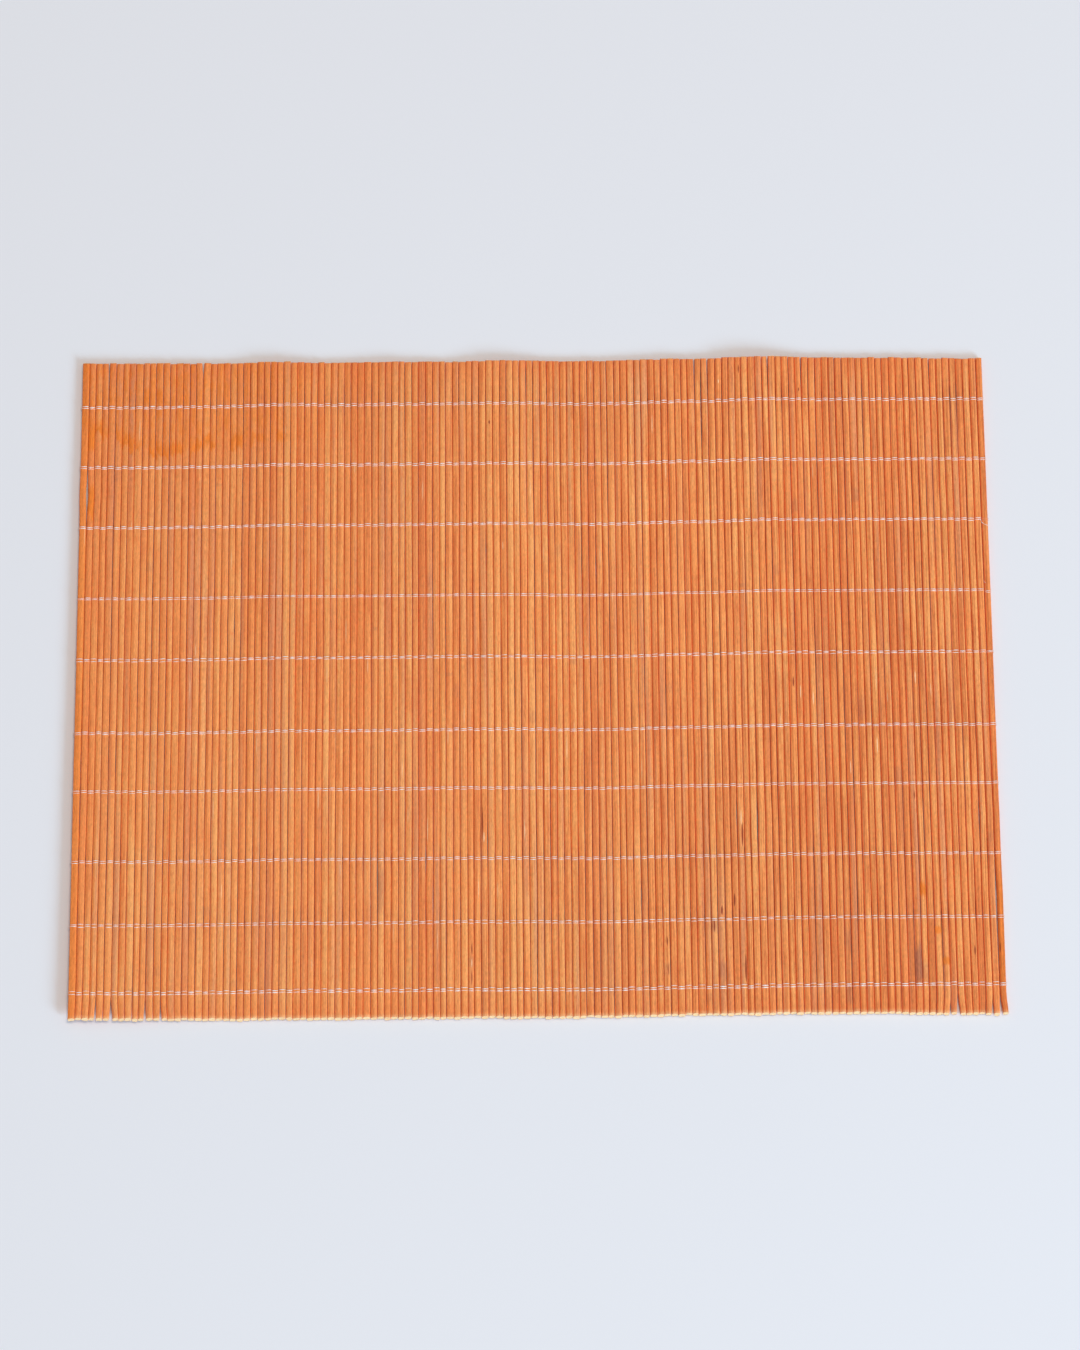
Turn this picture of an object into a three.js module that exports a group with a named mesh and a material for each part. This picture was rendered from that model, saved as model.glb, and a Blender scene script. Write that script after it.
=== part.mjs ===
// A bamboo placemat lying on a table: split bamboo sticks side by side, held together by ten lines of thread.
// Millimetres, +Z up. X runs along the threads and Y along the sticks, away from the near edge.
// The origin is on the table, under the middle of the mat.
import * as THREE from "three";

// The whole mat
const matLength = 400;
const stickLength = 300;
const stickCount = 134;
const halfMat = matLength / 2;
const stickPitch = matLength / stickCount;

// One stick, seen on its cut end: a flat back and crown, and a bevelled shoulder on each side
const stickThickness = 1.8;
const grooveWidth = 0.34; // between neighbouring sticks
const shoulderWidth = 0.5;
const webThickness = 0.5; // what joins neighbours in the middle of their thickness
const rimThickness = 1.2; // the outer side of the first and the last stick
const cornersPerStick = 4; // left foot, left crown, right crown, right foot
const spansPerStick = 2; // lengths that a stick is divided in, so that it can bow

// How much the sticks differ from each other: the whole spread of each trait, and the seed of its repeatable numbers
const traits = {
  bow: { spread: 0.2, seed: 1 }, // sideways, halfway along the stick
  width: { spread: 0.12, seed: 2 },
  nearCut: { spread: 0.6, seed: 3 }, // how far the near end is cut past or short of the edge
  crown: { spread: 0.14, seed: 4 },
  farCut: { spread: 0.6, seed: 5 },
};

// A line of thread: a flat pair of yarns that runs over all the sticks and back under them
const threadWidth = 1.3;
const threadThickness = 0.4;
const clearance = 0.3; // between the thread and the sticks
const threadSkew = 0.0047; // rise of every line along X, because the mat was woven a little askew
const restHeight = threadThickness + clearance; // the backs of the sticks lie on the thread
const crownHeight = restHeight + stickThickness + traits.crown.spread / 2;

// Where the lines cross the middle of the mat, from the far edge to the near one
const threadLines = [130, 101.6, 73.3, 40.3, 11.9, -21.4, -47.9, -79.4, -107.7, -137.5];

// Where the mat stands off the table: middle and half width of each fold along X, and its height at both edges
const folds = [
  { at: -200, reach: 75, far: 0.4, near: 2.2 },
  { at: -112.5, reach: 25, far: 1.3, near: 0.2 },
  { at: -62.5, reach: 25, far: 0.6, near: 0.1 },
  { at: -12.5, reach: 25, far: 1.5, near: 0.3 },
  { at: 62.5, reach: 25, far: 0.5, near: 0 },
  { at: 100, reach: 30, far: 2.3, near: 0.3 },
];

// Where the sticks have slipped along their own length
const slips = [
  { at: 85, reach: 60, shift: 0.7 },
  { at: 140, reach: 60, shift: 0.8 },
];

// Where the thread wanders along the sticks
const wanders = [
  { at: -165, reach: 35, shift: -0.25 },
  { at: -100, reach: 50, shift: 0.3 },
  { at: -35, reach: 35, shift: 0.25 },
  { at: 28, reach: 45, shift: -0.6 },
  { at: 105, reach: 35, shift: 0.4 },
];

// The mat bends at these places only, so thread and sticks keep the same distance everywhere
const bayCount = 32;
const bayLength = matLength / bayCount;
const stations = Array.from({ length: bayCount + 1 }, (_, k) => -halfMat + k * bayLength);

const bambooMaterial = new THREE.MeshStandardMaterial({ color: 0xd98250, roughness: 0.55, metalness: 0 });
const threadMaterial = new THREE.MeshStandardMaterial({ color: 0xf2dccd, roughness: 0.9, metalness: 0 });

// A repeatable number between -spread/2 and spread/2 for each stick: the far decimals of a sine
function uneven(stick, trait) {
  const wave = Math.sin(stick * 12.9898 + trait.seed * 78.233) * 43758.5453;
  return (wave - Math.floor(wave) - 0.5) * trait.spread;
}

// Sum of raised cosines, each one full at its own place and nothing past its reach
function sumOfBumps(bumps, x, sizeOf) {
  return bumps.reduce((sum, bump) => {
    const t = Math.abs(x - bump.at) / bump.reach;
    return t < 1 ? sum + sizeOf(bump) * Math.cos((t * Math.PI) / 2) ** 2 : sum;
  }, 0);
}

// Height of the folds at a station, straight from the near edge to the far one
function foldHeight(x, y) {
  const farShare = y / stickLength + 0.5;
  return sumOfBumps(folds, x, (fold) => THREE.MathUtils.lerp(fold.near, fold.far, farShare));
}

// How far the mat is off the table: straight between neighbouring stations
function lift(x, y) {
  const inside = THREE.MathUtils.clamp(x, -halfMat, halfMat);
  const bay = Math.min(Math.floor((inside + halfMat) / bayLength), bayCount - 1);
  const share = (inside - stations[bay]) / bayLength;
  return THREE.MathUtils.lerp(foldHeight(stations[bay], y), foldHeight(stations[bay + 1], y), share);
}

// One point of the ribbed field of sticks: column counts stick corners along X, row counts spans along Y
function stickPoint(column, row, onTop, lastColumn) {
  const stick = Math.floor(column / cornersPerStick);
  const corner = column % cornersPerStick;
  const isCrown = corner === 1 || corner === 2;
  const isRim = column === 0 || column === lastColumn;
  const side = corner < 2 ? -1 : 1;

  const middle = -halfMat + (stick + 0.5) * stickPitch;
  const isBetweenEnds = row > 0 && row < spansPerStick;
  const bow = isBetweenEnds ? uneven(stick, traits.bow) : 0;
  const footReach = (stickPitch - grooveWidth + uneven(stick, traits.width)) / 2;
  const x = middle + bow + side * (isCrown ? footReach - shoulderWidth : footReach);

  const cut = isBetweenEnds ? 0 : uneven(stick, row === 0 ? traits.nearCut : traits.farCut);
  const slip = sumOfBumps(slips, middle, (bump) => bump.shift);
  const y = (row / spansPerStick - 0.5) * stickLength + cut + slip;

  const crown = stickThickness + uneven(stick, traits.crown);
  const foot = isRim ? rimThickness : webThickness;
  const top = isCrown ? crown : (stickThickness + foot) / 2;
  const back = isCrown ? 0 : (stickThickness - foot) / 2;
  return [x, y, restHeight + (onTop ? top : back) + lift(x, y)];
}

// All the sticks as one ribbed sheet: a box whose grid of points is moved to the sticks' corners
function makeStickField() {
  const lastColumn = stickCount * cornersPerStick - 1;
  const geometry = new THREE.BoxGeometry(lastColumn, spansPerStick, 1, lastColumn, spansPerStick, 1);
  const points = geometry.attributes.position;
  for (let i = 0; i < points.count; i++) {
    const column = Math.round(points.getX(i) + lastColumn / 2);
    const row = Math.round(points.getY(i) + spansPerStick / 2);
    points.setXYZ(i, ...stickPoint(column, row, points.getZ(i) > 0, lastColumn));
  }
  geometry.computeVertexNormals();
  const mesh = new THREE.Mesh(geometry, bambooMaterial);
  mesh.name = "stick_field";
  return mesh;
}

// The loop of a thread line in the XZ plane, on its outer or inner side: back over the sticks, then forth under them
function threadLoop(isOuter) {
  const out = isOuter ? threadThickness : 0;
  const turn = halfMat + clearance + out;
  const under = [-turn, ...stations, turn].map((x) => ({ x, z: threadThickness - out }));
  const over = under.map(({ x }) => ({ x, z: crownHeight + clearance + out })).reverse();
  return [...over, ...under];
}

// Place of a thread line along the sticks
function threadPlace(line, x) {
  return line + threadSkew * x + sumOfBumps(wanders, x, (bump) => bump.shift);
}

// One line of thread: a torus of four-sided section whose points are moved to the loop
function makeThreadLine(line, number) {
  const outer = threadLoop(true);
  const inner = threadLoop(false);
  const sectionCorners = 4; // outer far, outer near, inner near, inner far
  const geometry = new THREE.TorusGeometry(halfMat, threadWidth, sectionCorners, outer.length);
  const points = geometry.attributes.position;
  for (let i = 0; i < points.count; i++) {
    const step = i % (outer.length + 1);
    const corner = ((i - step) / (outer.length + 1)) % sectionCorners;
    const { x, z } = (corner < 2 ? outer : inner)[step % outer.length];
    const isNear = corner === 1 || corner === 2;
    const y = threadPlace(line, x);
    points.setXYZ(i, x, y + (isNear ? -threadWidth : threadWidth) / 2, z + lift(x, y));
  }
  geometry.computeVertexNormals();
  const mesh = new THREE.Mesh(geometry, threadMaterial);
  mesh.name = `thread_line_${String(number).padStart(2, "0")}`;
  return mesh;
}

const placemat = new THREE.Group();
placemat.add(makeStickField());
threadLines.forEach((line, k) => placemat.add(makeThreadLine(line, k + 1)));

// The slipped sticks reach a little further on the far side, so the whole is centred on the origin again
const overall = new THREE.Box3().setFromObject(placemat, true);
placemat.position.y = -(overall.min.y + overall.max.y) / 2;

export default placemat;
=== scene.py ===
import bpy
import numpy as np
from mathutils import Matrix


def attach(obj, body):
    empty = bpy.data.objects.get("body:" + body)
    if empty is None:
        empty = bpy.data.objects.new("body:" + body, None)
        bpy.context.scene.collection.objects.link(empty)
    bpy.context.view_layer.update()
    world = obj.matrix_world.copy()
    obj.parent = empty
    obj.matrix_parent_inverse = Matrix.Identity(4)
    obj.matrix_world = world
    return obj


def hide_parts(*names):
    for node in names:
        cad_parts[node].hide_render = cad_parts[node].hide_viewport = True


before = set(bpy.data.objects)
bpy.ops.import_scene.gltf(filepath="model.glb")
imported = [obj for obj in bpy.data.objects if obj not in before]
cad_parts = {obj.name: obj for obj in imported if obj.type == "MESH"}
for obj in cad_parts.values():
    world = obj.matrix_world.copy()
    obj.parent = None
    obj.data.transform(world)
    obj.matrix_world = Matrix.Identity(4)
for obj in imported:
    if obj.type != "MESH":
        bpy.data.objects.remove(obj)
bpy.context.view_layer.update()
print("frame loaded")

mm = 0.001  # shapes are worked out in millimetres and scaled as they go into their meshes

# How the whole mat lies. Tables of bumps hold the middle and the reach of each along X, then its size
mat = {
    "length": 400.0,
    "stickLength": 300.0,
    "sticks": 134,
    "shift": -0.40168,  # of sticks and threads along Y, as in the frame
    "backs": 0.7,  # height of the sticks' backs over the table
    "folds": np.array([  # height at the far edge and at the near edge
        [-200, 75, 0.4, 2.2],
        [-112.5, 25, 1.3, 0.2],
        [-62.5, 25, 0.6, 0.1],
        [-12.5, 25, 1.5, 0.3],
        [62.5, 25, 0.5, 0.0],
        [100, 30, 2.3, 0.3],
    ]),
    "slips": np.array([[85, 60, 0.7], [140, 60, 0.8]]),  # of the sticks along Y
    "wanders": np.array([  # of the threads along Y
        [-165, 35, -0.25],
        [-100, 50, 0.3],
        [-35, 35, 0.25],
        [28, 45, -0.6],
        [105, 35, 0.4],
        [-150, 30, 0.13],
        [-15, 18, -0.25],
        [95, 33, -0.32],
        [138, 25, 0.28],
        [165, 24, 0.12],
        [194, 20, -0.15],
    ]),
}


def bumps(x, table, size):
    # sum of raised cosines: each is its size times the squared cosine of a quarter turn times its share, which
    # is the distance over the reach
    share = np.clip(np.abs(x[..., None] - table[:, 0]) / table[:, 1], 0, 1)
    return (size * np.cos(share * np.pi / 2) ** 2).sum(-1)


def lift(x, y):
    # height of the folds, straight from the near edge to the far one
    far = (y / mat["stickLength"] + 0.5)[..., None]
    return bumps(x, mat["folds"], mat["folds"][:, 2] * far + mat["folds"][:, 3] * (1 - far))


def waves(rng, count, along, parts):
    # for each of count sticks, a sum of sines of the place along it, with the lengths and heights that parts
    # gives and random starts
    phase = rng.uniform(0, 2 * np.pi, (len(parts), count, 1))
    return sum(height * np.sin(2 * np.pi * along / length + p) for (length, height), p in zip(parts, phase))


def acrossSticks(values, reach):
    # running mean over neighbouring sticks, so that neighbours bend alike
    kernel = np.hanning(2 * reach + 3)[1:-1]
    padded = np.pad(values, ((reach, reach), (0, 0)), mode="edge")
    return sum(w * padded[k:k + len(values)] for k, w in enumerate(kernel)) / kernel.sum()


def putMesh(name, points, quads, materials, cornerUv=None, slots=None, flat=None, vectors=None):
    # one mesh of four-sided faces from whole arrays, with UV map, material numbers, flat faces and vectors
    mesh = bpy.data.meshes.new(name)
    mesh.vertices.add(len(points))
    mesh.vertices.foreach_set("co", (points * mm).astype(np.float32).ravel())
    mesh.loops.add(quads.size)
    mesh.loops.foreach_set("vertex_index", quads.astype(np.int32).ravel())
    mesh.polygons.add(len(quads))
    mesh.polygons.foreach_set("loop_start", np.arange(0, quads.size, 4, dtype=np.int32))
    mesh.polygons.foreach_set("use_smooth", np.ones(len(quads), bool) if flat is None else ~flat)
    if slots is not None:
        mesh.polygons.foreach_set("material_index", slots.astype(np.int32))
    if cornerUv is not None:
        layer = mesh.uv_layers.new(name="strip")
        layer.data.foreach_set("uv", cornerUv.astype(np.float32).ravel())
    for key, values in (vectors or {}).items():
        layer = mesh.attributes.new(key, "FLOAT_VECTOR", "POINT")
        layer.data.foreach_set("vector", values.astype(np.float32).ravel())
    mesh.update(calc_edges=True)
    for material in materials:
        mesh.materials.append(material)
    piece = bpy.data.objects.new(name, mesh)
    bpy.context.scene.collection.objects.link(piece)
    return piece


# Shader building: a node with its inputs, and short forms of the ones used most
def node(tree, kind, inputs=None, **settings):
    made = tree.nodes.new("ShaderNode" + kind)
    for key, value in settings.items():
        setattr(made, key, value)
    for key, value in (inputs or {}).items():
        if isinstance(value, bpy.types.NodeSocket):
            tree.links.new(value, made.inputs[key])
        else:
            made.inputs[key].default_value = value
    return made


def calc(tree, operation, a, b=0.0, clamp=False):
    return node(tree, "Math", {0: a, 1: b}, operation=operation, use_clamp=clamp).outputs[0]


def ramp(tree, value, rise, start):
    # start plus the rise times the value
    return node(tree, "Math", {0: value, 1: rise, 2: start}, operation="MULTIPLY_ADD").outputs[0]


def spread(tree, value, low, high, toLow=0.0, toHigh=1.0):
    # value from low to high becomes toLow to toHigh, smoothly and no further
    inputs = {0: value, 1: low, 2: high, 3: toLow, 4: toHigh}
    return node(tree, "MapRange", inputs, interpolation_type="SMOOTHSTEP").outputs[0]


def sway(tree, start, parts):
    # start plus, for each part, its factor times the value's distance from one half
    total = start
    for value, factor in parts:
        total = ramp(tree, value, factor, total)
    return calc(tree, "SUBTRACT", total, sum(factor for value, factor in parts) / 2)


def split(tree, vector):
    return node(tree, "SeparateXYZ", {0: vector}).outputs


def attribute(tree, name):
    return split(tree, node(tree, "Attribute", attribute_name=name).outputs["Vector"])


def blendColour(tree, share, a, b, kind="MIX"):
    a, b = [v if isinstance(v, bpy.types.NodeSocket) else (*v, 1) for v in (a, b)]
    return node(tree, "Mix", {0: share, 6: a, 7: b}, data_type="RGBA", blend_type=kind).outputs[2]


def noise(tree, place, scale, detail=2.0, roughness=0.5):
    made = node(tree, "TexNoise", {"Vector": place, "Scale": scale, "Detail": detail, "Roughness": roughness})
    return made.outputs[0]


def newMaterial(name):
    material = bpy.data.materials.new(name)
    material.use_nodes = True
    tree = material.node_tree
    tree.nodes.clear()
    shader = node(tree, "BsdfPrincipled")
    node(tree, "OutputMaterial", {"Surface": shader.outputs[0]})
    return material, tree, shader


# Stained bamboo. Colours are albedo
bamboo = {
    "deep": (0.81, 0.227, 0.067),
    "middle": (0.88, 0.304, 0.091),
    "pale": (0.905, 0.390, 0.130),
    "ruddy": (0.83, 0.196, 0.054),
    "dull": (0.69, 0.287, 0.150),
    # deeper stain and painted shading of the flanks
    "flankStainAndShade": (0.86, 0.158, 0.052),
    "dusty": (0.48, 0.27, 0.22),
    "damp": (0.86, 0.222, 0.027),
    "stain": (0.36, 0.135, 0.095),
    "crack": (0.30, 0.040, 0.018),
    "splinter": (0.98, 0.64, 0.38),
    "raw": (0.99, 0.70, 0.39),
    "fibreDots": (0.88, 0.46, 0.19),
    "girth": 8.4,  # millimetres round a stick
    "apart": 53.0,  # how far the noises of two sticks are apart, times the difference of their numbers
    "grain": {  # changes per millimetre of each noise, round and along a stick, then its detail and roughness
        "patches": (0.02, 0.03, 2.0, 0.5),
        "bands": (0.85, 0.010, 2.0, 0.6),
        "streaks": (1.4, 0.02, 3.0, 0.65),
        "blotches": (0.45, 0.13, 3.0, 0.6),
        "fibres": (7.0, 0.14, 3.0, 0.65),
        "specks": (3.2, 0.5, 2.0, 0.6),
        "greyness": (0.3, 0.008, 2.0, 0.5),
        "dust": (0.12, 0.016, 2.0, 0.5),
        "mottle": (0.8, 0.35, 2.0, 0.6),
        "soak": (0.05, 0.05, 1.0, 0.5),
    },
    "strandsAndHighlight": (1.3, 0.34),  # contrast of the pale strand lines: rise per metre to the right, which is painted highlight, and at the middle
    "flankShadeRise": 1.2,  # millimetres by which the painted shading on the flanks widens per metre to the right
    "rim": 0.006,  # share of the length that is paler at the near cut
    "drift": (-0.06, -0.055, 0.10, -0.13),  # of the tone: with X, with Y, with both, with the square of X
    "nearRight": (0.02, 0.16, 0.055),  # darker towards that corner: from and to which metre, by how much
    "farSide": (0.02, 0.15, 0.02),  # the same along Y
    "dampPlace": (-0.168, 0.1078),  # lowest point of the dried edge of damp, in metres
    "dampSlopes": (-0.43, 0.10),  # of the edge to the left and to the right of it
    "marks": [  # the thin ones: attribute, half width in millimetres, strength, colour
        ("crackA", 0.42, 0.95, "crack"),
        ("crackB", 0.36, 0.9, "crack"),
        ("splinterA", 0.30, 0.9, "splinter"),
        ("splinterB", 0.30, 0.45, "splinter"),
    ],
    "gloss": 0.18,
}


def stripPlace(tree, around, along):
    # place on the stick's own strip, stretched around and along. The stick's random number keeps it apart
    uv = split(tree, node(tree, "UVMap", uv_map="strip").outputs[0])
    return node(tree, "CombineXYZ", {
        0: calc(tree, "MULTIPLY", uv[0], bamboo["girth"] * around),
        1: calc(tree, "MULTIPLY", uv[1], mat["stickLength"] * along),
        2: calc(tree, "MULTIPLY", attribute(tree, "traits")[2], bamboo["apart"]),
    }).outputs[0]


def grain(tree, name):
    # one of the noises of the table, on the stick's own strip
    around, along, detail, roughness = bamboo["grain"][name]
    return noise(tree, stripPlace(tree, around, along), 1.0, detail, roughness)


def stainOn(tree, name, y, rough):
    # a broad mark: strongest at its place along the stick, ragged, gone at its half length
    at = attribute(tree, name)
    share = calc(tree, "DIVIDE", calc(tree, "ABSOLUTE", calc(tree, "SUBTRACT", y, at[0])), at[1])
    return calc(tree, "MULTIPLY", spread(tree, sway(tree, share, [(rough, 1.3)]), 1.0, 0.4), at[2])


def streakOn(tree, name, y, across, rough, wide):
    # a thin mark: its width shrinks with the square of the way to either end, and it wobbles across the stick
    at = attribute(tree, name)
    share = calc(tree, "DIVIDE", calc(tree, "SUBTRACT", y, at[0]), at[1])
    taper = calc(tree, "MAXIMUM", calc(tree, "SUBTRACT", 1.0, calc(tree, "MULTIPLY", share, share)), 0.001)
    off = calc(tree, "ABSOLUTE", sway(tree, calc(tree, "SUBTRACT", across, at[2]), [(rough, 0.5)]))
    return spread(tree, calc(tree, "DIVIDE", off, calc(tree, "MULTIPLY", taper, wide)), 1.0, 0.5)


def toneDrift(tree, spot):
    # the mat is paler in the middle of the near side and deeper at the far left: X, Y, their product and the
    # square of X, which run from -1 to 1 over the mat, each times its factor
    withX, withY, withBoth, withSquare = bamboo["drift"]
    halves = mat["length"] / 2 * mm, mat["stickLength"] / 2 * mm
    x, y = [calc(tree, "MULTIPLY", s, 1 / half) for s, half in zip(spot, halves)]
    slope = calc(tree, "ADD", calc(tree, "MULTIPLY", x, withSquare), calc(tree, "MULTIPLY", y, withBoth))
    acrossMat = calc(tree, "MULTIPLY", x, calc(tree, "ADD", slope, withX))
    return calc(tree, "ADD", acrossMat, calc(tree, "MULTIPLY", y, withY))


def dampOn(tree, spot, rough, soak):
    # damp from the far left corner has dried in a bent ragged line, and left the stain deeper behind it
    off = calc(tree, "SUBTRACT", spot[0], bamboo["dampPlace"][0])
    falling, rising = [calc(tree, "MULTIPLY", off, slope) for slope in bamboo["dampSlopes"]]
    edge = calc(tree, "ADD", calc(tree, "MAXIMUM", falling, rising), bamboo["dampPlace"][1])
    behind = sway(tree, calc(tree, "SUBTRACT", spot[1], edge), [(rough, 0.02)])
    line = calc(tree, "MULTIPLY", spread(tree, behind, -0.003, -0.001), spread(tree, behind, 0.005, 0.001))
    line = calc(tree, "MULTIPLY", line, spread(tree, soak, 0.40, 0.58, 0.1, 0.9))
    line = calc(tree, "MULTIPLY", line, spread(tree, spot[0], -0.09, -0.14))
    soaked = calc(tree, "MULTIPLY", spread(tree, behind, -0.002, 0.004), spread(tree, spot[0], -0.05, -0.15))
    soaked = calc(tree, "MULTIPLY", soaked, spread(tree, rough, 0.42, 0.64, 0.0, 0.6))
    return calc(tree, "MAXIMUM", line, soaked)


def makeBamboo():
    # the tone picks the stain's colour, and the flanks, dust, damp and marks are laid over it one by one
    material, tree, shader = newMaterial("stainedBamboo")
    traits = attribute(tree, "traits")
    uv = split(tree, node(tree, "UVMap", uv_map="strip").outputs[0])
    spot = split(tree, node(tree, "TexCoord").outputs["Object"])
    across = calc(tree, "MULTIPLY", calc(tree, "SUBTRACT", 0.5, uv[0]), bamboo["girth"])
    patches, bands, streaks, blotches, fibres, specks = [
        grain(tree, name) for name in ("patches", "bands", "streaks", "blotches", "fibres", "specks")
    ]

    # pale strand lines are grain; their contrast, which grows towards the right of the mat, is painted
    # highlight
    strandsAndHighlight = calc(tree, "SUBTRACT", spread(tree, streaks, 0.40, 0.56), 0.5)
    strandsAndHighlight = calc(tree, "MULTIPLY", strandsAndHighlight, ramp(tree, spot[0], *bamboo["strandsAndHighlight"]))
    tone = calc(tree, "ADD", traits[0], toneDrift(tree, spot))
    tone = sway(tree, tone, [(patches, 0.85), (bands, 1.4), (streaks, 0.8), (blotches, 0.9)])
    tone = calc(tree, "ADD", strandsAndHighlight, tone)
    colour = blendColour(tree, spread(tree, tone, 0.0, 0.5), bamboo["deep"], bamboo["middle"])
    colour = blendColour(tree, spread(tree, tone, 0.5, 1.0), colour, bamboo["pale"])
    redness = sway(tree, traits[1], [(blotches, 0.8), (streaks, 0.6)])
    colour = blendColour(tree, spread(tree, redness, 0.35, 1.1, 0.0, 0.85), colour, bamboo["ruddy"])
    # grey and dust show on the sticks that aren't red
    notRed = spread(tree, traits[1], 0.6, 0.4)
    dulled = calc(tree, "MULTIPLY", spread(tree, grain(tree, "greyness"), 0.5, 0.72, 0.0, 0.55), notRed)
    colour = blendColour(tree, dulled, colour, bamboo["dull"])

    # the flanks take a deeper colour that is partly deeper stain and partly painted shading, and dust has
    # greyed some flanks. The stain also lies deeper at the tips. The left side faces away from the window, so
    # its painted shading starts nearer to the middle, and the painted shading widens towards the right of the
    # mat
    side = calc(tree, "MAXIMUM", calc(tree, "MULTIPLY", across, -1.0), calc(tree, "SUBTRACT", across, 0.3))
    side = ramp(tree, spot[0], bamboo["flankShadeRise"], side)
    colour = blendColour(tree, spread(tree, side, 1.05, 1.6, 0.0, 0.85), colour, bamboo["flankStainAndShade"])
    dusted = calc(tree, "MULTIPLY", spread(tree, grain(tree, "dust"), 0.56, 0.64), notRed)
    dusted = calc(tree, "MULTIPLY", dusted, spread(tree, side, 1.35, 1.75, 0.0, 0.8))
    colour = blendColour(tree, dusted, colour, bamboo["dusty"])
    tip = calc(tree, "ABSOLUTE", calc(tree, "SUBTRACT", uv[1], 0.5))
    colour = blendColour(tree, spread(tree, tip, 0.46, 0.5, 0.0, 0.3), colour, bamboo["ruddy"])
    # the last millimetres at the near end are paler
    rim = spread(tree, uv[1], bamboo["rim"], 0.0)
    rim = calc(tree, "MULTIPLY", rim, spread(tree, fibres, 0.3, 0.6, 0.15, 0.4))
    colour = blendColour(tree, rim, colour, bamboo["raw"])
    mottled = spread(tree, grain(tree, "mottle"), 0.58, 0.72, 0.0, 0.45)
    colour = blendColour(tree, mottled, colour, bamboo["ruddy"])
    colour = blendColour(tree, dampOn(tree, spot, blotches, grain(tree, "soak")), colour, bamboo["damp"])

    # marks of the tables: broad stains, of which the damp ones are below nought, then the thin marks
    stains = calc(tree, "ADD", *[stainOn(tree, name, spot[1], blotches) for name in ("stainA", "stainB")])
    colour = blendColour(tree, calc(tree, "MAXIMUM", stains, 0.0, True), colour, bamboo["stain"])
    wet = calc(tree, "MAXIMUM", calc(tree, "MULTIPLY", stains, -1.0), 0.0, True)
    colour = blendColour(tree, wet, colour, bamboo["damp"])
    for name, wide, strength, key in bamboo["marks"]:
        mask = streakOn(tree, name, spot[1], across, streaks, wide)
        colour = blendColour(tree, calc(tree, "MULTIPLY", mask, strength), colour, bamboo[key])

    # fibres, specks and the pale strand lines with their painted highlight are lighter and darker, and two
    # sides of the mat are a little darker
    value = ramp(tree, strandsAndHighlight, 0.35, sway(tree, 1.0, [(fibres, 0.4), (specks, 0.8)]))
    towardsCorner = calc(tree, "SUBTRACT", spot[0], calc(tree, "MULTIPLY", spot[1], 0.8))
    for way, (start, end, darker) in ((towardsCorner, bamboo["nearRight"]), (spot[1], bamboo["farSide"])):
        value = calc(tree, "SUBTRACT", value, spread(tree, way, start, end, 0.0, darker))
    colour = node(tree, "HueSaturation", {"Value": value, "Color": colour}).outputs[0]

    tree.links.new(colour, shader.inputs["Base Color"])
    shine = sway(tree, spread(tree, streaks, 0.3, 0.7, 0.58, 0.72), [(fibres, 0.12)])
    tree.links.new(shine, shader.inputs["Roughness"])
    shader.inputs["Specular IOR Level"].default_value = bamboo["gloss"]
    relief = sway(tree, 0.0, [(fibres, 0.5), (streaks, 0.8), (specks, 0.2)])
    bump = node(tree, "Bump", {"Height": relief, "Distance": 0.00006, "Strength": 0.7})
    tree.links.new(bump.outputs[0], shader.inputs["Normal"])
    return material


def makeCutBamboo():
    # raw wood dotted with cut fibres, with a little of the stain soaked in
    material, tree, shader = newMaterial("cutBamboo")
    place = node(tree, "TexCoord").outputs["Object"]
    dots = noise(tree, place, 5200.0, 2.0)
    broad = noise(tree, place, 260.0, 2.0)
    colour = blendColour(tree, spread(tree, dots, 0.5, 0.72), bamboo["raw"], bamboo["fibreDots"])
    colour = blendColour(tree, spread(tree, broad, 0.5, 0.8, 0.0, 0.25), colour, bamboo["middle"])
    tree.links.new(colour, shader.inputs["Base Color"])
    tree.links.new(spread(tree, dots, 0.3, 0.7, 0.7, 0.9), shader.inputs["Roughness"])
    bump = node(tree, "Bump", {"Height": dots, "Distance": 0.00008, "Strength": 0.8})
    tree.links.new(bump.outputs[0], shader.inputs["Normal"])
    return material


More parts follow.
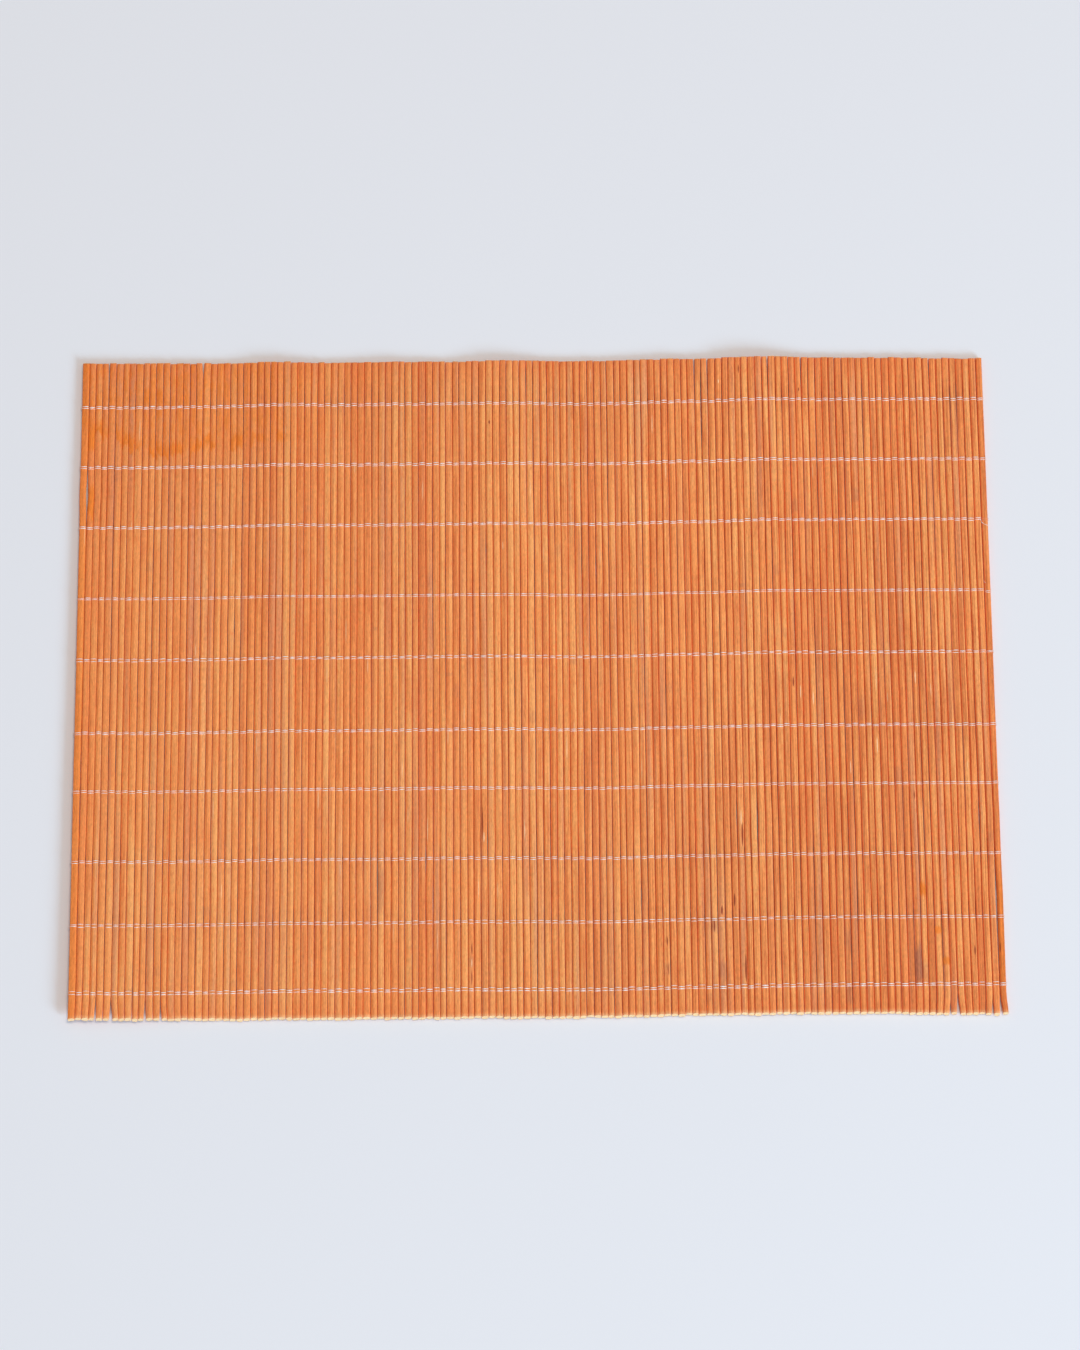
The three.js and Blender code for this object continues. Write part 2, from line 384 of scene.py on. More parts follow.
# The sticks, in millimetres where nothing else is said
sticks = {
    "seed": 21,
    "thickness": 1.8,
    "endRows": [2.0, 5.0],  # how far rows of points are off the ends, besides the chamfer's
    "evenRows": (9.0, 33),  # how far the other rows keep off the ends, and their number
    "edgeSpread": 0.2,  # how far two sticks meet off their even place, at most
    "gap": (0.03, 0.2),  # between two sticks: most are near the smaller one
    "gapWaves": [(130, 0.03), (47, 0.02)],  # lengths and heights of the waves along a stick, here and below
    "smallestGap": 0.04,
    "gapAtThread": (0.2, 2.5),  # what a thread keeps open, and how far along the sticks
    "outerGap": 0.02,
    "bow": [(420, 0.16), (170, 0.10), (75, 0.05)],
    "waver": [(260, 0.035), (90, 0.03)],
    "alike": 3,  # sticks to either side that bend alike
    "calm": (0.25, 3),  # share of the bends at the mat's sides, and the sticks over which the rest comes in
    "splitFade": 2.5,  # sticks over which the push of a split fades
    "ridge": (0.16, 0.4),  # how far the ridge is aside, as a share of the half width: usual and largest
    "ridgeWaves": [(210, 0.06), (90, 0.04)],
    "roll": 2.3,  # degrees
    "twist": [(190, 0.02), (80, 0.014)],
    "crownSpread": 0.05,  # how much thicker or thinner a stick is, at most
    "cut": 0.22,  # how uneven the sticks' lengths are at an end
    "cutFade": 6,  # power of the place along a stick by which that fades away from the end
    "nearCut": 0.62,  # how much shorter all sticks are cut at the near end
    "cutLean": (0.35, 0.7),  # how far the back of a stick reaches past its crown at the ends
    "cutFray": 0.35,  # what single corners of a cut end may add to that
    "chamfer": (0.12, 0.914286),  # its length, and the share of the section that is left at the end
    "halfSize": (1.43, 0.9),  # of a usual section, for the way round it
    "tone": (0.49, 0.15, 0.04, 9.0),  # mean, spread, and height and length in sticks of its wave over the mat
    "redness": (0.26, 0.18),
    "ownStains": {"share": 0.3, "halfLength": (1, 5), "strength": (0.08, 0.24)},  # placed at random
    "ownScratches": {"share": 0.35, "halfLength": (2, 6), "across": (-0.8, 0.8)},
    # the outline of a stick's end, anticlockwise from the middle of its back: across and up in halves of its
    # width and thickness, how much a corner follows the ridge, and how it sinks on a steeper left or right side
    "section": np.array([
        [0.35, -1.00, 0, 0, 0],
        [0.80, -0.94, 0, 0, 0],
        [0.97, -0.62, 0, 0, 0],
        [1.00, -0.10, 0, 0, 0],
        [0.985, 0.42, 0, 0, -0.05],
        [0.90, 0.74, 0, 0, -0.07],
        [0.60, 0.90, 0.4, 0, -0.06],
        [0.06, 1.00, 1, 0, 0],
        [-0.08, 0.99, 1, 0, 0],
        [-0.50, 0.86, 0.4, -0.09, 0],
        [-0.82, 0.62, 0, -0.12, 0],
        [-0.97, 0.28, 0, -0.08, 0],
        [-1.00, -0.12, 0, 0, 0],
        [-0.97, -0.62, 0, 0, 0],
        [-0.80, -0.94, 0, 0, 0],
        [-0.35, -1.00, 0, 0, 0],
    ]),
    "over": [10, 9, 8, 7, 6, 5],  # corners that a thread over the stick follows, and one under it
    "under": [13, 14, 15, 0, 1, 2],
    "halfwayUp": (12, 3),  # corners on the left and the right side
    "facets": (5, 10),  # first and last face of the crown
    "splits": np.array([  # gaps that open between two sticks: place along X and Y, reach along Y, width
        [-182.2, -152, 12, 1.4], [-188.6, -152, 14, 0.7], [-167.3, -152, 12, 0.9], [-160.5, -152, 10, 0.8],
        [176.4, -152, 8, 0.8], [179.4, -152, 12, 1.5], [194.3, -152, 10, 1.0], [197.3, -152, 12, 1.2],
        [-187.1, 156, 24, 0.5], [-145.7, 153, 10, 0.9], [70.6, 156, 26, 0.6], [77.7, 154, 24, 0.4],
        [104.4, 156, 26, 0.5], [119.1, 156, 24, 0.5], [177.0, 156, 24, 0.5], [-3.8, 142.4, 7, 0.25],
        [-197.2, 88.9, 15, 0.9], [74.7, 117.5, 16, 0.4], [74.4, 136.1, 8, 0.3], [96.1, -65.3, 17, 0.4],
        [-182.6, -31.2, 12, 0.3], [-68.9, -89.5, 12, 0.35], [197.4, -96.5, 16, 0.5], [87.4, -63.4, 10, 0.35],
        [-21.5, -69.8, 10, 0.3], [-9.2, -4.7, 9, 0.25], [190.9, -63.8, 9, 0.35], [26.7, 54.0, 9, 0.25],
        [-197.5, -57.2, 9, 0.3], [-21.1, 62.8, 8, 0.25], [-197.8, -38.3, 8, 0.3], [-132.3, 27.4, 8, 0.25],
        [66.0, -32.6, 8, 0.25], [44.7, -97.1, 8, 0.25], [-47.2, -78, 8, 0.3], [-44.6, -98, 8, 0.25],
        [197.0, -115, 24, 0.3],
    ]),
    "ownTraits": np.array([  # stick, tone, redness
        [0, 0.60, 0.55], [1, 0.52, 0.60], [132, 0.42, 0.3], [133, 0.42, 0.61],
    ]),
    "stains": np.array([  # place along X and Y, half length, strength: above 0 mauve and brown, below 0 damp
        [-67.4, -94.0, 12.0, 0.33], [163.0, -128.2, 10.5, 0.62], [165.9, -131.0, 5.5, 0.3],
        [142.5, -12.9, 6.8, 0.25], [133.4, -116.3, 6.5, 0.27], [133.1, -141.6, 5.4, 0.28],
        [75.7, -110.3, 4.5, 0.3], [79.6, -130.2, 5.4, 0.33], [55.7, -129.6, 3.8, 0.25],
        [-195.7, 114.4, 7.8, -0.9], [-195.1, 84.2, 10.5, -0.9], [-164.6, 133.8, 4.8, -0.7],
        [-170.3, 133.9, 4.8, -0.7], [166.3, -95.0, 4.0, -0.9], [172.5, -113.3, 2.2, -0.8],
        [174.9, -127.0, 2.6, -0.8], [-129.8, 113.2, 3.8, -0.8], [-111.2, 114.5, 3.3, -0.7],
        [-120.3, 114.0, 2.6, -0.6], [198.6, -112.0, 34.0, -0.6], [-198.5, 0.0, 400.0, -0.45],
    ]),
    "cracks": np.array([  # place along X and Y, half length, place across the stick
        [-29.3, -119.9, 2.9, 0.3], [-28.9, -132.7, 3.3, 0.2], [55.0, -117.2, 2.2, 0.0],
        [88.6, -70.0, 6.0, 0.8], [88.2, -129.4, 6.6, 0.9], [78.9, -103.7, 2.2, 0.4],
        [75.7, -110.3, 3.5, 0.0], [86.7, -99.3, 3.1, -0.5], [112.7, -1.2, 2.3, 0.3],
        [198.6, -121.0, 2.6, -0.9], [188.0, -122.2, 2.2, 0.5], [162.5, -52.9, 2.3, 0.5],
        [-23.5, -64.5, 8.0, -0.8], [55.7, -129.6, 2.6, 0.3], [118.4, 135.1, 0.9, 0.1],
        [-20.4, 120.4, 0.9, 0.2], [90.6, 144.8, 2.2, 0.2],
    ]),
    "splinters": np.array([
        [-23.5, -70.5, 2.6, 0.1], [-4.9, -67.4, 5.0, -0.2], [-45.0, -67.1, 6.0, -0.7],
        [115.2, -5.8, 3.2, 0.3], [121.3, -8.6, 3.2, 0.2], [148.0, -30.2, 4.1, 0.3],
        [166.8, 0.7, 3.2, 0.2], [172.7, -5.3, 3.2, 0.2], [136.5, -40.1, 3.2, 0.3],
        [88.3, -62.7, 3.6, 0.4], [81.1, 139.2, 1.0, 0.3], [-28.2, -126.3, 2.0, 0.2],
    ]),
    "faintSplinters": np.array([
        [-50.1, 89.0, 4.7, 0.2], [-1.6, 88.7, 4.7, 0.2], [29.0, 58.0, 4.7, 0.0], [-58.8, -39.9, 4.5, 0.3],
        [-94.2, -53.2, 4.5, 0.2], [-32.8, -15.2, 4.6, 0.3],
    ]),
}


def between(limits, share):
    # the low limit plus the share of the way to the high one
    low, high = limits
    return low + (high - low) * share


def layOut():
    # sides of every stick at every row along it: boundaries between sticks are even places plus the same bends,
    # each stick keeps half a gap off its boundaries, and a split pushes the sticks beside it apart
    rng = np.random.default_rng(sticks["seed"])
    count, half = mat["sticks"], mat["stickLength"] / 2
    edges = np.linspace(-0.5, 0.5, count + 1) * mat["length"]
    edges[1:-1] += rng.uniform(-1, 1, count - 1) * sticks["edgeSpread"]
    ends = np.array([0, sticks["chamfer"][0], *sticks["endRows"]])
    off, evenRows = sticks["evenRows"]
    rows = np.concatenate([ends - half, np.linspace(off - half, half - off, evenRows), half - ends[::-1]])

    bend = acrossSticks(waves(rng, count + 1, rows, sticks["bow"]), sticks["alike"])
    waver = waves(rng, count + 1, rows, sticks["waver"])
    fromSide = np.minimum(np.arange(count + 1), count - np.arange(count + 1))
    calm, calmSticks = sticks["calm"]
    edge = edges[:, None] + (bend + waver) * np.minimum(1, calm + fromSide / calmSticks)[:, None]
    gap = between(sticks["gap"], rng.uniform(0, 1, (count + 1, 1)) ** 2)
    gap = gap + waves(rng, count + 1, rows, sticks["gapWaves"])
    threadGap, threadReach = sticks["gapAtThread"]
    nearest = np.abs(rows - threads["lines"][:, None]).min(0)
    gap = np.maximum(np.maximum(gap, threadGap * (nearest < threadReach)), sticks["smallestGap"])
    gap[[0, -1]] = sticks["outerGap"]
    left, right = edge[:-1] + gap[:-1] / 2, edge[1:] - gap[1:] / 2

    number = np.arange(count)[:, None]
    for x, y, reach, width in sticks["splits"]:
        k = np.abs(edges[1:-1] - x).argmin() + 1
        share = np.clip(np.abs(rows - y) / reach, 0, 1)
        opening = width / 2 * np.cos(share * np.pi / 2) ** 2
        for side, away in ((left, 0), (right, 1)):
            steps = np.where(number < k, k - number - away, number + away - k)
            side += np.where(number < k, -1, 1) * opening * np.exp(-steps / sticks["splitFade"])
    return rows, left, right


def gridQuads(rowCount, columnCount):
    # faces of a tube: rows of points along it, columns of points round it, facing out
    row, column = np.meshgrid(np.arange(rowCount - 1), np.arange(columnCount), indexing="ij")
    nextColumn = (column + 1) % columnCount
    corners = [(row, column), (row + 1, column), (row + 1, nextColumn), (row, nextColumn)]
    return np.stack([r * columnCount + c for r, c in corners], -1).reshape(-1, 4)


def capQuads(columnCount):
    # faces of a ring's flat end, from its first points to its last
    k = np.arange(columnCount // 2 - 1)
    return np.stack([k, k + 1, columnCount - 2 - k, columnCount - 1 - k], -1)


def wrapped(quads, columnCount):
    # true for the corners in the first column of a face that also has one in the last: there the strip closes
    column = quads % columnCount
    return (column == 0) & (column == columnCount - 1).any(1)[:, None]


def sectionPoints(rng, rows, count):
    # the outline with its ridge moved aside by a slow wave along each stick, and either side steeper or flatter
    across, up, follow, steepLeft, steepRight = sticks["section"].T
    usual, largest = sticks["ridge"]
    ridge = rng.normal(0, usual, (count, 1)) + waves(rng, count, rows, sticks["ridgeWaves"])
    ridge = np.clip(ridge, -largest, largest)[..., None]
    leftSide, rightSide = rng.uniform(-1, 1, (2, count, 1, 1))
    return across + ridge * follow, up + leftSide * steepLeft + rightSide * steepRight


def makeSticks(rows, left, right):
    # each stick is its section, as wide as its sides are apart, carried along the rows. It rolls and twists by
    # height added in proportion to the way across, and its ends lean by length added from the crown to the back
    rng = np.random.default_rng(sticks["seed"] + 1)
    count, rowCount, corners = mat["sticks"], len(rows), len(sticks["section"])
    middle, halfWidth = (left + right) / 2, (right - left) / 2
    roll = np.tan(np.radians(rng.normal(0, 1, (count, 1, 1)) * sticks["roll"]))
    roll = roll + waves(rng, count, rows, sticks["twist"])[..., None]
    crown = rng.uniform(-1, 1, (count, 1)) * sticks["crownSpread"]
    nearCut, farCut = rng.uniform(-1, 1, (2, count, 1)) * sticks["cut"]
    nearCut = nearCut + sticks["nearCut"]
    lean = rng.uniform(*sticks["cutLean"], (2, count, 1, 1))
    lean = lean + rng.uniform(0, sticks["cutFray"], (2, count, 1, corners))
    across, up = sectionPoints(rng, rows, count)

    inset = np.ones(rowCount)
    inset[[0, -1]] = sticks["chamfer"][1]
    slip = bumps(middle[:, :1], mat["slips"], mat["slips"][:, 2])
    share = rows / mat["stickLength"] + 0.5
    y = rows + nearCut * (1 - share) ** sticks["cutFade"] + farCut * share ** sticks["cutFade"] + slip
    halfUp = (sticks["thickness"] + crown) / 2
    z = mat["backs"] + lift(middle, y) + halfUp
    atNear, atFar = (np.arange(rowCount) < 2)[:, None], (np.arange(rowCount) > rowCount - 3)[:, None]

    points = np.empty((count, rowCount, corners, 3))
    points[..., 0] = middle[..., None] + (halfWidth * inset)[..., None] * across
    points[..., 1] = y[..., None] + mat["shift"] + (lean[1] * atFar - lean[0] * atNear) * (0.5 - up / 2)
    points[..., 2] = z[..., None] + (halfUp * inset)[..., None] * up + roll * halfWidth[..., None] * across

    # faces of one stick, then of all. Those of the crown, from one shoulder to the other, are flat
    wall, cap = gridQuads(rowCount, corners), capQuads(corners)
    one = np.concatenate([wall, cap, (rowCount - 1) * corners + cap[:, ::-1]])
    quads = (one[None] + (np.arange(count) * rowCount * corners)[:, None, None]).reshape(-1, 4)
    isWall = np.arange(len(one)) < len(wall)
    column = np.arange(len(one)) % corners
    isFacet = isWall & (column >= sticks["facets"][0]) & (column <= sticks["facets"][1])
    outline = sticks["section"][:, :2] * sticks["halfSize"]
    steps = np.linalg.norm(np.roll(outline, -1, 0) - outline, axis=1)
    around = (np.cumsum(steps) - steps + outline[0, 0]) / steps.sum()
    uv = np.stack(np.broadcast_arrays(around, share[:, None]), -1).reshape(-1, 2)[one]
    uv[..., 0] += wrapped(one, corners) & isWall[:, None]

    # tone and redness drift from stick to stick, and each has its own
    mean, toneSpread, height, length = sticks["tone"]
    tone = mean + toneSpread * rng.normal(0, 1, count) + height * np.sin(np.arange(count) / length)
    redness = sticks["redness"][0] + sticks["redness"][1] * rng.normal(0, 1, count)
    own = sticks["ownTraits"][:, 0].astype(int)
    tone[own], redness[own] = sticks["ownTraits"][:, 1:].T
    vectors = {"traits": np.stack([tone, redness, rng.uniform(0, 10, count)], -1)}
    vectors.update(placeMarks(rng, middle[:, rowCount // 2]))
    isCap = np.tile(~isWall, count)
    piece = putMesh(
        "bambooSticks", points.reshape(-1, 3), quads, [makeBamboo(), makeCutBamboo()],
        cornerUv=np.tile(uv, (count, 1, 1)), slots=isCap, flat=isCap | np.tile(isFacet, count),
        vectors={key: np.repeat(values, rowCount * corners, 0) for key, values in vectors.items()},
    )
    return piece, points


def settle(middle, table, slots):
    # each row of a table goes to the stick nearest to its place along X, in its first free slot
    marks = np.tile([1.0, 0.001, 0.0], (slots, len(middle), 1))
    used = np.zeros(len(middle), int)
    for x, y, halfLength, value in table:
        k = np.abs(middle - x).argmin()
        marks[min(used[k], slots - 1), k] = (y * mm, halfLength * mm, value)
        used[k] += 1
    return marks, used


def placeMarks(rng, middle):
    # the marks of the tables, with small random stains and faint splinters on sticks that have none
    count = len(middle)
    stains, darkened = settle(middle, sticks["stains"], 2)
    cracks = settle(middle, sticks["cracks"], 2)[0]
    splinters = settle(middle, sticks["splinters"], 1)[0]
    faint, scratched = settle(middle, sticks["faintSplinters"], 1)
    random = rng.uniform(0, 1, (2, 4, count))
    for kind, last, marks, slot, isFree, (place, length, choice, third) in (
        ("ownStains", "strength", stains, 1, darkened < 2, random[0]),
        ("ownScratches", "across", faint, 0, scratched == 0, random[1]),
    ):
        table = sticks[kind]
        y = (place - 0.5) * mat["stickLength"] * mm
        made = np.stack([y, between(table["halfLength"], length) * mm, between(table[last], third)], -1)
        isFree = isFree & (choice < table["share"])
        marks[slot, isFree] = made[isFree]
    return {
        "stainA": stains[0], "stainB": stains[1], "crackA": cracks[0], "crackB": cracks[1],
        "splinterA": splinters[0], "splinterB": faint[0],
    }


# The threads, in millimetres too. Each line has two pairs of yarns, one over the even sticks and one over
# the odd ones
threads = {
    "seed": 5,
    "skew": 0.0047,
    "lines": np.array([130, 101.6, 73.3, 40.3, 11.9, -21.4, -47.9, -79.4, -107.7, -137.5]),
    "pairs": np.array([  # of either pair: how far off its line, its yarns' distance, half width of a yarn
        [0.18, 0.86, 0.140, -0.185, 0.80, 0.138],
        [0.19, 0.84, 0.140, -0.19, 0.80, 0.142],
        [0.18, 0.76, 0.145, -0.165, 0.76, 0.145],
        [0.00, 0.70, 0.075, 0.00, 0.78, 0.150],
        [0.01, 1.12, 0.130, -0.01, 0.60, 0.138],
        [-0.165, 0.74, 0.138, 0.17, 0.80, 0.135],
        [-0.12, 0.88, 0.122, 0.125, 0.76, 0.125],
        [-0.17, 0.84, 0.120, 0.17, 0.77, 0.127],
        [0.00, 0.72, 0.127, 0.00, 1.22, 0.122],
        [0.165, 1.27, 0.118, -0.165, 0.86, 0.186],
    ]),
    "thick": 0.14,  # half thickness of a yarn on a stick
    "widths": [0.62, 0.92, 1.24, 1.26, 0.96, 0.64],  # shares of the half width, across a stick
    "inGroove": (0.05, 0.055),  # half thickness and half width between two sticks
    "grooveRings": (0.02, 0.12),  # how far the two rings there are off its middle, along X and in height
    "shadeDepths": [0.58, 0.22, 0, 0, 0.16, 0.5, 1, 1],  # painted shading on the yarn at each ring, deepest in the groove
    "breathe": (0.12, 23, 0.08),  # of a pair's distance: height and length of its waves, usual difference
    "shiftSpread": 0.03,  # usual difference of a yarn's place from stick to stick
    "swellSpread": 0.13,  # the same of its width, as a share
    "turns": (0.4, 0.3),  # how far the thread reaches past the first and the last stick
    "startRings": {  # the two before the first stick
        "thick": [0.05, 0.09], "wide": [0.08, 0.1], "depth": [0.8, 0.4], "soil": [0.5, 0.5], "rise": 0.3,
    },
    "plyLength": 1.1,  # of one turn of the plies
    "sides": 6,
    "ownDashes": np.array([  # line, stick, shift along Y, share of the width, share of extra painted groove shading
        [3, 133, 0.0, 0.3, 0.8],
        [4, 133, -0.9, 0.8, 0.2],
    ]),
    "tails": {  # loose strands of a line: half width, then places along X and Y
        3: [
            (0.09, [196.2, 73.5], [196.9, 73.0], [197.4, 72.1], [197.9, 71.4], [198.9, 70.9], [200.2, 70.4]),
            (0.17, [197.1, 72.3], [197.4, 71.9], [197.7, 71.5]),
        ],
        4: [(0.1, [197.0, 44.9], [197.4, 44.3], [197.8, 43.8])],
    },
    "tailThick": 0.09,
    "tailSoil": 0.3,
    "yarn": (1.0, 0.98, 0.99),
    # painted shading in the valleys between the plies, and the colour that soil takes the yarn to
    "plyShadeAndSoil": (0.95, 0.79, 0.75),
    # painted shadow and orange light thrown back by the sticks, on the yarn in the grooves
    "darkened": (0.80, 0.33, 0.13),
}


def makeThreadMaterial():
    material, tree, shader = newMaterial("paleThread")
    uv = split(tree, node(tree, "UVMap", uv_map="strip").outputs[0])
    traits = attribute(tree, "traits")
    # plies wind round the yarn: a wave of the sum of the places along and round it
    turn = calc(tree, "ADD", uv[1], calc(tree, "MULTIPLY", uv[0], 2.0))
    ply = calc(tree, "ABSOLUTE", calc(tree, "SINE", calc(tree, "MULTIPLY", turn, np.pi)))
    place = node(tree, "TexCoord").outputs["Object"]
    fuzz = noise(tree, place, 9000.0, 3.0, 0.7)
    soil = noise(tree, place, 90.0, 3.0)
    # painted shading in the valleys between the plies; soil below takes the yarn towards the same colour
    colour = blendColour(tree, spread(tree, ply, 0.0, 0.6), threads["plyShadeAndSoil"], threads["yarn"])
    soiled = sway(tree, calc(tree, "MULTIPLY", traits[1], 0.6), [(soil, 1.0)])
    colour = blendColour(tree, spread(tree, soiled, 0.1, 0.6, 0.0, 0.75), colour, threads["plyShadeAndSoil"])
    # painted shading: the yarn turns orange-brown towards and in the grooves, standing in for shadow there and
    # light thrown back by the sticks
    colour = blendColour(tree, calc(tree, "MULTIPLY", traits[0], 0.92), colour, threads["darkened"])
    tree.links.new(colour, shader.inputs["Base Color"])
    tree.links.new(spread(tree, fuzz, 0.3, 0.7, 0.75, 0.95), shader.inputs["Roughness"])
    shader.inputs["Sheen Weight"].default_value = 0.25
    shader.inputs["Sheen Roughness"].default_value = 0.5
    height = sway(tree, ply, [(fuzz, 0.5)])
    bump = node(tree, "Bump", {"Height": height, "Distance": 0.00006, "Strength": 0.8})
    tree.links.new(bump.outputs[0], shader.inputs["Normal"])
    return material


def tube(path, thick, wide, sides):
    # a closed tube: rings of an ellipse square to a path in X and Z, half thick within that plane, half wide
    # along Y
    ahead = np.gradient(path[:, [0, 2]], axis=0)
    ahead /= np.linalg.norm(ahead, axis=1, keepdims=True)
    turn = np.arange(sides) * 2 * np.pi / sides
    out = np.cos(turn) * thick[:, None]
    points = np.stack([
        path[:, 0, None] - ahead[:, 1, None] * out,
        path[:, 1, None] + np.sin(turn) * wide[:, None],
        path[:, 2, None] + ahead[:, 0, None] * out,
    ], -1)
    last = (len(path) - 1) * sides
    quads = np.concatenate([gridQuads(len(path), sides), capQuads(sides), last + capQuads(sides)[:, ::-1]])
    return points.reshape(-1, 3), quads


def atRow(points, rowShare):
    # each stick's section at its own place along the rows
    low = np.clip(rowShare.astype(int), 0, points.shape[1] - 2)
    part = (rowShare - low)[:, None, None]
    number = np.arange(len(points))
    return points[number, low] * (1 - part) + points[number, low + 1] * part


def ringUv(quads, along, sides):
    # u goes once round a tube of rings, and v is the given place along it, for each corner of each face
    around = np.arange(sides) / sides
    uv = np.stack(np.broadcast_arrays(around, along[:, None]), -1).reshape(-1, 2)[quads]
    uv[..., 0] += wrapped(quads, sides)
    return uv


def makeYarn(path, y, thick, wide, depth, soil, plyPlace):
    # one tube along a path in X and Z with its own Y, and the painted groove shading and the soil of each ring
    sides = threads["sides"]
    points, quads = tube(np.stack([path[:, 0], y, path[:, 1]], -1), thick, wide, sides)
    traits = np.repeat(np.stack([np.minimum(depth, 1), soil, np.zeros(len(path))], -1), sides, 0)
    return points, quads, ringUv(quads, plyPlace, sides), traits


def makeThread(number, line, pairs, rows, stickPoints, material, rng):
    # every yarn is a path of rings on the crown or the back of each stick and two in the groove after it, at
    # the line's place plus its pair's shift
    count = mat["sticks"]
    x0 = stickPoints[:, len(rows) // 2, :, 0].mean(-1)
    place = line + threads["skew"] * x0 + bumps(x0, mat["wanders"], mat["wanders"][:, 2])
    section = atRow(stickPoints, np.interp(place, rows, np.arange(len(rows))))
    sideLeft, sideRight = [section[:, corner] for corner in sticks["halfwayUp"]]
    top, bottom = section[:, sticks["over"]], section[:, sticks["under"]]
    own = threads["ownDashes"][threads["ownDashes"][:, 0] == number]
    yarns = []
    waveHeight, waveLength, unlike = threads["breathe"]
    begin = threads["startRings"]
    for yarn in range(4):
        pair, sign = yarn // 2, yarn % 2 * 2 - 1
        over = np.arange(count) % 2 == pair
        offset, apart, halfWide = pairs[3 * pair:3 * pair + 3]
        breathe = 1 + waveHeight * np.sin(x0 / waveLength + rng.uniform(0, 6)) + rng.normal(0, unlike, count)
        shift = offset + sign * apart / 2 * breathe + rng.normal(0, threads["shiftSpread"], count)
        swell = 1 + rng.normal(0, threads["swellSpread"], count)
        soil = rng.uniform(0, 1, count)
        darkened = np.zeros(count)
        # own dashes move, narrow and take extra painted groove shading
        for stick, along, width, stain in own[:, 1:]:
            if over[int(stick)]:
                shift[int(stick)] += along
                swell[int(stick)] *= width
                darkened[int(stick)] = stain

        # six rings on or under a stick, then two in the groove after it. Two more come before them all
        way = np.where(over, 1, -1)
        run = np.where(over[:, None, None], top, bottom)
        run = run[..., [0, 2]] + way[:, None, None] * [0, threads["thick"]]
        aside, higher = threads["grooveRings"]
        groove = np.empty((count, 2, 2))
        groove[:-1] = ((sideRight[:-1] + sideLeft[1:]) / 2)[:, None, [0, 2]]
        groove[-1] = sideRight[-1, [0, 2]] + [threads["turns"][1], 0]
        groove[..., 0] += [-aside, aside]
        groove[..., 1] += way[:, None] * [higher, -higher]
        path = np.concatenate([run, groove], 1)
        rings = path.shape[1]
        start = sideLeft[0, [0, 2]] - [threads["turns"][0], 0]
        start = start + way[0] * np.array([[0, 0], [0, begin["rise"]]])
        path = np.concatenate([start, path.reshape(-1, 2)])

        grooveThick, grooveWide = threads["inGroove"]
        thick = [threads["thick"]] * 6 + [grooveThick] * 2
        wide = swell[:, None] * halfWide * threads["widths"]
        wide = np.concatenate([wide, np.full((count, 2), grooveWide)], 1)
        # painted groove shading of each ring, with the extra of own dashes
        depth = np.tile(threads["shadeDepths"], count) + np.repeat(darkened, rings)
        length = np.concatenate([[0], np.cumsum(np.linalg.norm(np.diff(path, axis=0), axis=1))])
        yarns.append(makeYarn(
            path,
            y=np.interp(path[:, 0], x0, place + shift) + mat["shift"],
            thick=np.concatenate([begin["thick"], np.tile(thick, count)]),
            wide=np.concatenate([begin["wide"], wide.ravel()]),
            depth=np.concatenate([begin["depth"], depth]),
            soil=np.concatenate([begin["soil"], np.repeat(soil, rings)]),
            plyPlace=length / threads["plyLength"],
        ))

    for width, *corners in threads["tails"].get(number, []):
        corners = np.array(corners)
        step = np.linspace(0, len(corners) - 1, 3 * len(corners) - 2)
        x, y = [np.interp(step, np.arange(len(corners)), side) for side in corners.T]
        z = mat["backs"] + lift(x, y) + sticks["thickness"] + threads["thick"]
        same = np.ones(len(x))
        yarns.append(makeYarn(
            np.stack([x, z], -1), y, thick=threads["tailThick"] * same, wide=width * same,
            depth=0 * same, soil=threads["tailSoil"] * same, plyPlace=step,
        ))

    points, quads, uv, traits = zip(*yarns)
    firsts = np.cumsum([0] + [len(p) for p in points[:-1]])
    return putMesh(
        "threadLine%02d" % number, np.concatenate(points),
        np.concatenate([q + first for q, first in zip(quads, firsts)]), [material],
        cornerUv=np.concatenate(uv), vectors={"traits": np.concatenate(traits)},
    )


rows, left, right = layOut()
bambooSticks, stickPoints = makeSticks(rows, left, right)
print("sticks made", len(bambooSticks.data.polygons), "faces")

threadMaterial = makeThreadMaterial()
threadRng = np.random.default_rng(threads["seed"])
threadPieces = [
    makeThread(k + 1, line, threads["pairs"][k], rows, stickPoints, threadMaterial, threadRng)
    for k, line in enumerate(threads["lines"])
]
print("threads made", sum(len(p.data.polygons) for p in threadPieces), "faces")

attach(bambooSticks, "root")
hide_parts("stick_field")
for k, piece in enumerate(threadPieces):
    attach(piece, "root")
    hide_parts("thread_line_%02d" % (k + 1))

# The table top, the light and the camera
studio = {
    "table": (0.813, 0.846, 0.915),
    "tableSize": 12.0,
    "world": (1.0, 1.0, 1.0),
    "worldStrength": 0.328,
    "brightSide": (0.8, -0.5, 0.1),  # the room is brighter towards here
    "brightness": 0.14,
    "lamps": {  # place, size, power, colour: a cool window in front on the right, a warm ceiling lamp
        "windowLight": ((3.14, -3.09, 1.93), 1.69, 196.5, (0.54, 0.785, 0.97)),
        "ceilingLight": ((0.6, 0.1, 4.2), 1.6, 78.5, (1.0, 0.80, 0.645)),
    },
    "lens": 126.54,
    "cameraPlace": (-0.00837, -0.63368, 1.96944),
    "tilt": 0.3130,
    "yaw": -0.0165,
    "bank": 0.0085,
}


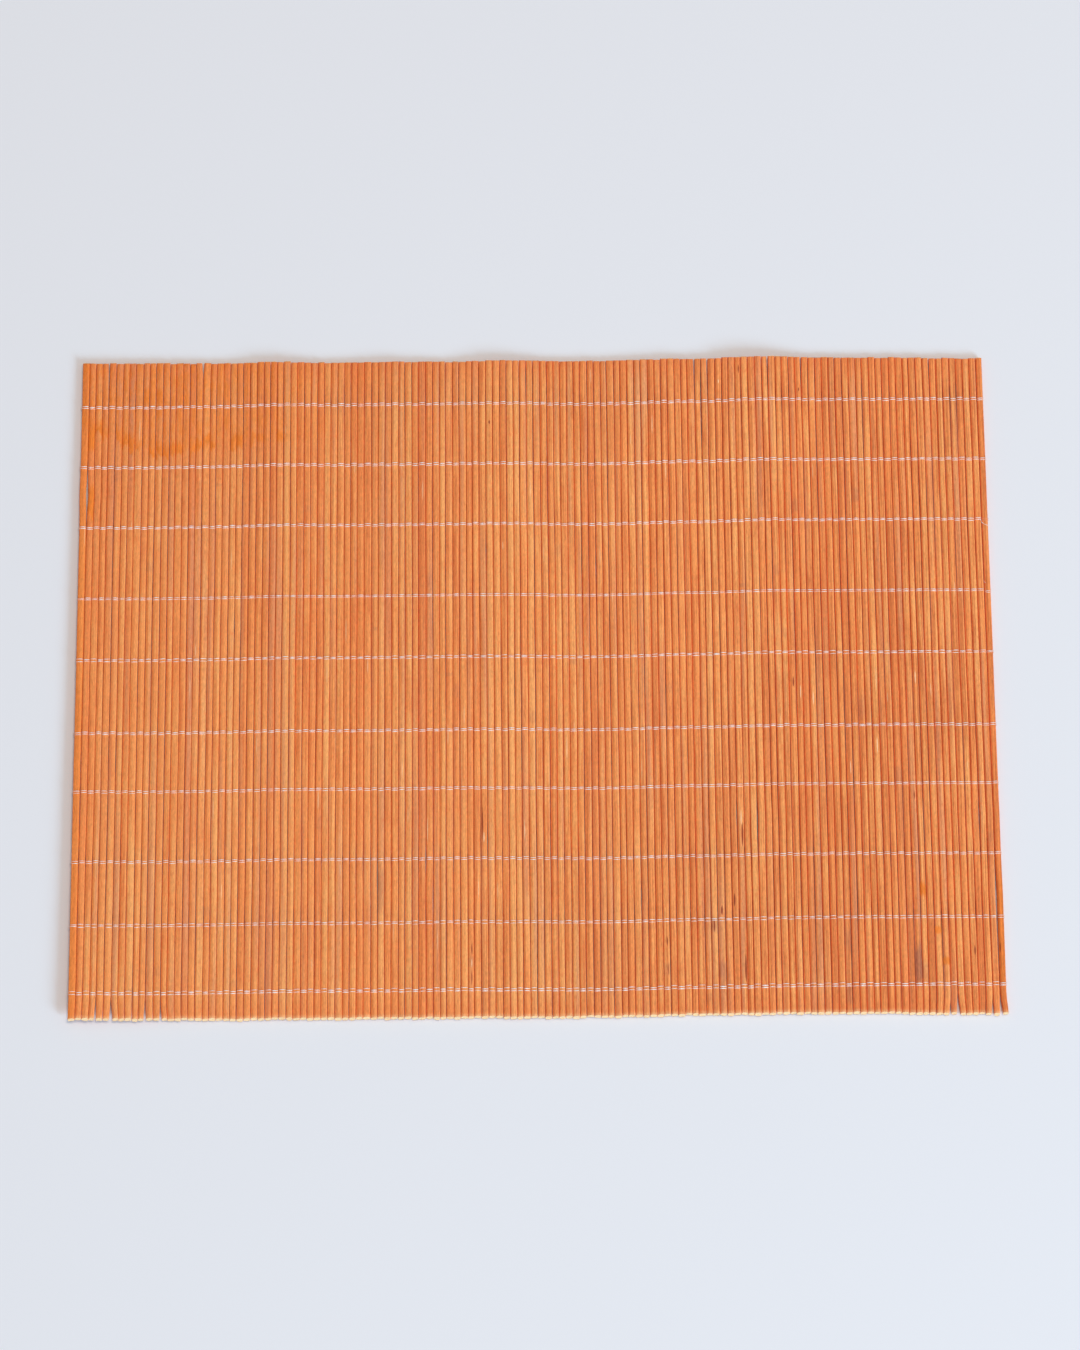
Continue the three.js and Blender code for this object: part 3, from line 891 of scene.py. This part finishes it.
def makeTable():
    # one square face at height 0
    half = studio["tableSize"] / 2 / mm
    points = np.array([[-half, -half, 0], [half, -half, 0], [half, half, 0], [-half, half, 0]], float)
    material, tree, shader = newMaterial("paleTable")
    place = node(tree, "TexCoord").outputs["Object"]
    cloud = noise(tree, place, 3.0, 2.0)
    grit = noise(tree, place, 900.0, 2.0)
    dimmer = [c * 0.985 for c in studio["table"]]
    colour = blendColour(tree, cloud, studio["table"], dimmer)
    tree.links.new(colour, shader.inputs["Base Color"])
    tree.links.new(spread(tree, grit, 0.2, 0.8, 0.75, 0.85), shader.inputs["Roughness"])
    shader.inputs["Specular IOR Level"].default_value = 0.25
    return putMesh("tableTop", points, np.array([[0, 1, 2, 3]]), [material])


tableTop = makeTable()

scene = bpy.context.scene
scene.view_settings.view_transform = "Standard"
world = bpy.data.worlds.new("softRoom")
world.use_nodes = True
worldTree = world.node_tree
background = worldTree.nodes["Background"]
background.inputs[0].default_value = (*studio["world"], 1)
ahead = node(worldTree, "TexCoord").outputs["Generated"]
towards = node(worldTree, "VectorMath", {0: ahead, 1: studio["brightSide"]}, operation="DOT_PRODUCT")
shine = ramp(worldTree, towards.outputs["Value"], studio["brightness"], 1.0)
worldTree.links.new(calc(worldTree, "MULTIPLY", shine, studio["worldStrength"]), background.inputs[1])
scene.world = world

for name, (place, size, power, colour) in studio["lamps"].items():
    lamp = bpy.data.lights.new(name, "AREA")
    lamp.shape = "DISK"
    lamp.size = size
    lamp.energy = power
    lamp.color = colour
    light = bpy.data.objects.new(name, lamp)
    scene.collection.objects.link(light)
    light.location = place
    light.rotation_mode = "QUATERNION"
    light.rotation_quaternion = light.location.to_track_quat("Z", "Y")

lens = bpy.data.cameras.new("camera")
lens.sensor_width = 36.0
lens.lens = studio["lens"]
lens.clip_start, lens.clip_end = 0.05, 50.0
camera = bpy.data.objects.new("camera", lens)
scene.collection.objects.link(camera)
camera.matrix_world = (
    Matrix.Translation(studio["cameraPlace"]) @ Matrix.Rotation(studio["yaw"], 4, "Z")
    @ Matrix.Rotation(studio["tilt"], 4, "X") @ Matrix.Rotation(studio["bank"], 4, "Z")
)
scene.camera = camera
print("table, light and camera placed")
